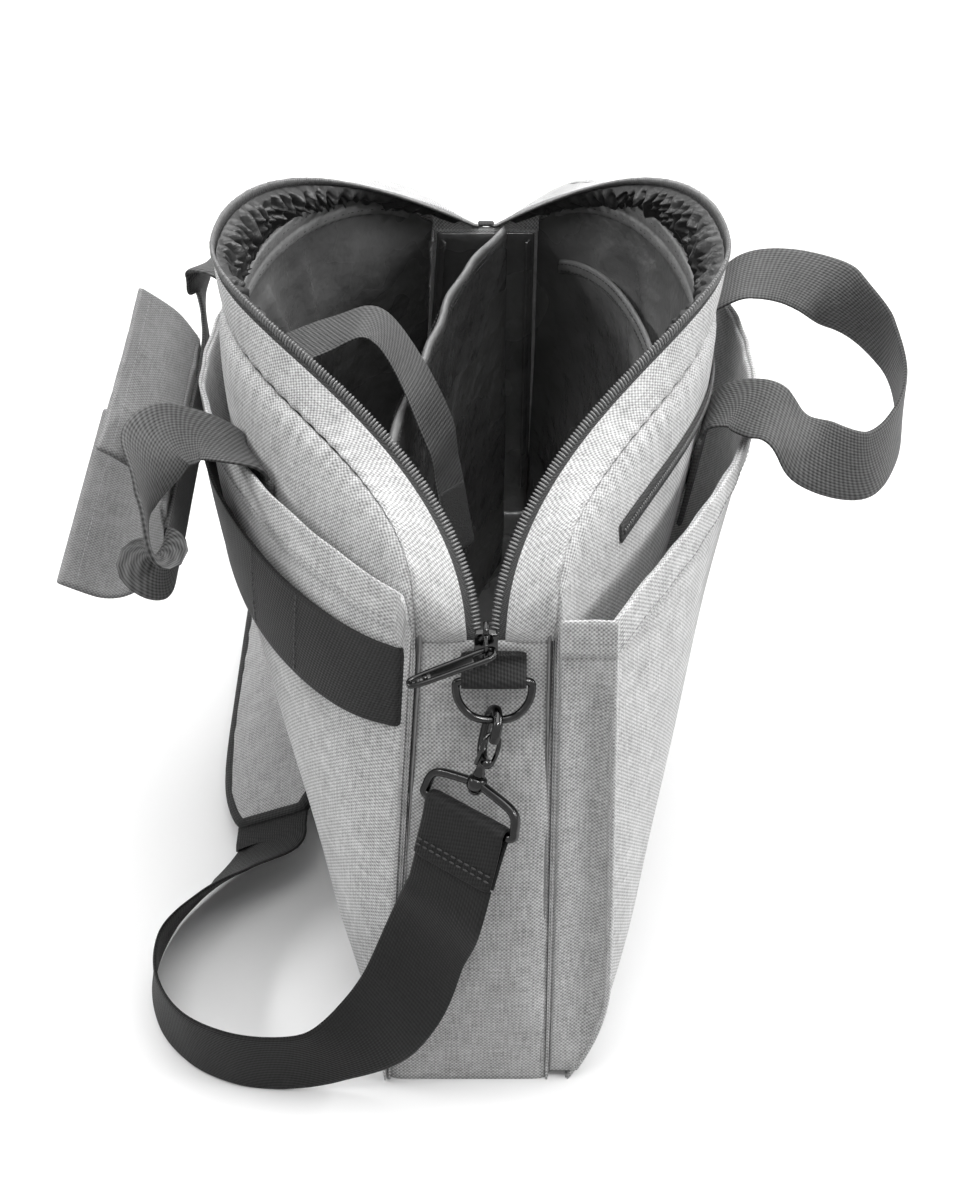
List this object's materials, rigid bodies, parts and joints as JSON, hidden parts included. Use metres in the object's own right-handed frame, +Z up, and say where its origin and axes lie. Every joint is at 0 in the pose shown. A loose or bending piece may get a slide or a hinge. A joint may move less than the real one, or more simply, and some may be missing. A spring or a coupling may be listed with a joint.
{
  "type": "laptop bag",
  "caption": "Soft fabric laptop bag, unzipped and splayed, with handles, shoulder strap on swivel hooks, slip and bellows pockets, divider and laptop strap.",
  "frame": {"origin": "on the floor face of the base panel, under the closed zip line, at the middle of the length", "axes": "+Z up; X along the bag's length, -X is the end with the zip slider; +Y is the back with the slip pocket, -Y the front with the bellows pocket"},
  "size_m": [0.4803, 0.3607, 0.307],
  "materials": {
    "heather_fabric": "light heather grey woven polyester",
    "grip_fabric": "mid-grey heather, padded",
    "webbing": "charcoal polyester webbing, ribbed",
    "lining_fabric": "black glossy nylon",
    "edge_binding": "grey folded binding tape",
    "zip_tape": "black woven tape",
    "zip_coil": "dark nylon coil",
    "black_nickel": "polished black nickel"
  },
  "bodies": {
    "shell": {"base_panel": "heather_fabric", "near_end_gusset": "heather_fabric", "far_end_gusset": "heather_fabric", "back_panel": "heather_fabric", "front_panel": "heather_fabric", "back_lining": "lining_fabric", "front_lining": "lining_fabric", "gusset_lining": "lining_fabric", "divider": "lining_fabric", "divider_binding": "edge_binding", "inner_pocket": "lining_fabric", "inner_pocket_binding": "edge_binding", "slip_pocket": "heather_fabric", "luggage_band": "webbing", "bellows_pocket_wall": "heather_fabric", "bellows_pocket_hem": "heather_fabric", "near_bellows": "heather_fabric", "far_bellows": "heather_fabric", "bellows_pocket_floor": "heather_fabric", "front_pocket_zip": "zip_coil", "zip_slider": "black_nickel", "far_zip_stop": "zip_tape", "near_tab": "webbing", "far_tab": "webbing", "strap_near_run": "webbing", "strap_pad_run": "webbing", "strap_far_run": "webbing", "front_handle_near_leg": "webbing", "front_handle_far_leg": "webbing", "back_handle_near_leg": "webbing", "back_handle_far_leg": "webbing"},
    "back_mouth": {"back_zip_band": "heather_fabric", "back_zip_tape": "zip_tape", "back_zip_teeth": "zip_coil", "back_band_lining": "lining_fabric"},
    "front_mouth": {"front_zip_band": "heather_fabric", "front_zip_tape": "zip_tape", "front_zip_teeth": "zip_coil", "front_band_lining": "lining_fabric"},
    "zip_pull": {"zip_pull": "black_nickel"},
    "laptop_strap": {"laptop_strap": "webbing", "laptop_strap_patch": "webbing"},
    "front_handle": {"front_handle": "webbing"},
    "back_handle": {"back_handle": "webbing", "grip_wrap": "grip_fabric"},
    "grip_flap_upper": {"grip_flap_upper": "grip_fabric"},
    "grip_flap_lower": {"grip_flap_lower": "grip_fabric"},
    "near_d_ring": {"near_d_ring": "black_nickel"},
    "near_strap_ring": {"near_strap_ring": "black_nickel", "near_strap_end": "webbing"},
    "near_hook": {"near_hook": "black_nickel"},
    "near_hook_gate": {"near_hook_gate": "black_nickel"},
    "far_d_ring": {"far_d_ring": "black_nickel"},
    "far_strap_ring": {"far_strap_ring": "black_nickel", "far_strap_end": "webbing"},
    "far_hook": {"far_hook": "black_nickel"},
    "far_hook_gate": {"far_hook_gate": "black_nickel"},
    "strap_adjuster": {"strap_adjuster": "black_nickel"},
    "shoulder_pad": {"shoulder_pad": "grip_fabric", "shoulder_pad_backing": "zip_tape"}
  },
  "joints": [
    {"name": "back_mouth_close", "type": "hinge", "parent": "shell", "child": "back_mouth", "pos_m": [0, 0, 0.222], "axis": [1, 0, 0], "range_deg": [0, 12]},
    {"name": "front_mouth_close", "type": "hinge", "parent": "shell", "child": "front_mouth", "pos_m": [0, 0, 0.222], "axis": [-1, 0, 0], "range_deg": [0, 12]},
    {"name": "zip_pull_swing", "type": "hinge", "parent": "shell", "child": "zip_pull", "pos_m": [-0.1649, 0, 0.224], "axis": [0, 0, 1], "range_deg": [0, 150]},
    {"name": "laptop_strap_lift", "type": "hinge", "parent": "shell", "child": "laptop_strap", "pos_m": [-0.002, 0.1055, 0.24], "axis": [-1, 0, 0], "range_deg": [0, 25]},
    {"name": "front_handle_lift", "type": "hinge", "parent": "shell", "child": "front_handle", "pos_m": [0.009, -0.097, 0.25], "axis": [-1, 0, 0], "range_deg": [0, 60]},
    {"name": "back_handle_lift", "type": "hinge", "parent": "shell", "child": "back_handle", "pos_m": [-0.004, 0.092, 0.249], "axis": [1, 0, 0], "range_deg": [0, 22]},
    {"name": "grip_flap_upper_fold", "type": "hinge", "parent": "back_handle", "child": "grip_flap_upper", "pos_m": [-0.03, 0.1336, 0.24], "axis": [1, 0, 0], "range_deg": [0, 14]},
    {"name": "grip_flap_lower_fold", "type": "hinge", "parent": "back_handle", "child": "grip_flap_lower", "pos_m": [-0.03, 0.1336, 0.198], "axis": [-1, 0, 0], "range_deg": [0, 85]},
    {"name": "near_strap_ring_swing", "type": "hinge", "parent": "shell", "child": "near_strap_ring", "pos_m": [-0.16294, -0.003, 0.2085], "axis": [0, 1, 0], "range_deg": [0, 12]},
    {"name": "near_d_ring_swing", "type": "hinge", "parent": "shell", "child": "near_d_ring", "pos_m": [-0.16294, -0.003, 0.2085], "axis": [0, 1, 0], "range_deg": [0, 12]},
    {"name": "near_hook_swivel", "type": "hinge", "parent": "near_strap_ring", "child": "near_hook", "pos_m": [-0.17931, 0.00353, 0.16961], "axis": [0.3765, -0.2419, 0.8943], "range_deg": [-10, 10]},
    {"name": "near_gate_open", "type": "hinge", "parent": "near_hook", "child": "near_hook_gate", "pos_m": [-0.17776, 0.00089, 0.1783], "axis": [-0.1319, 0.9415, 0.3102], "range_deg": [0, 22], "stiffness_Nm_per_rad": 0.01, "springref_deg": -11.46},
    {"name": "far_strap_ring_swing", "type": "hinge", "parent": "shell", "child": "far_strap_ring", "pos_m": [0.16294, 0, 0.2085], "axis": [0, -1, 0], "range_deg": [0, 12]},
    {"name": "far_d_ring_swing", "type": "hinge", "parent": "shell", "child": "far_d_ring", "pos_m": [0.16294, 0, 0.2085], "axis": [0, -1, 0], "range_deg": [0, 12]},
    {"name": "far_hook_swivel", "type": "hinge", "parent": "far_strap_ring", "child": "far_hook", "pos_m": [0.17962, 0, 0.16887], "axis": [-0.3881, 0, 0.9216], "range_deg": [-10, 10]},
    {"name": "far_gate_open", "type": "hinge", "parent": "far_hook", "child": "far_hook_gate", "pos_m": [0.17773, -0.001, 0.17784], "axis": [-0.4608, -0.866, -0.194], "range_deg": [0, 22], "stiffness_Nm_per_rad": 0.01, "springref_deg": -11.46},
    {"name": "strap_adjuster_slide", "type": "slide", "parent": "shell", "child": "strap_adjuster", "axis": [1, 0, 0], "range_m": [-0.004, 0.002]},
    {"name": "shoulder_pad_slide", "type": "slide", "parent": "shell", "child": "shoulder_pad", "axis": [1, 0, 0], "range_m": [-0.006, 0.006]}
  ],
  "couplings": [
    {"joint": "near_d_ring_swing", "follows": "near_strap_ring_swing", "ratio": 1},
    {"joint": "far_d_ring_swing", "follows": "far_strap_ring_swing", "ratio": 1}
  ]
}
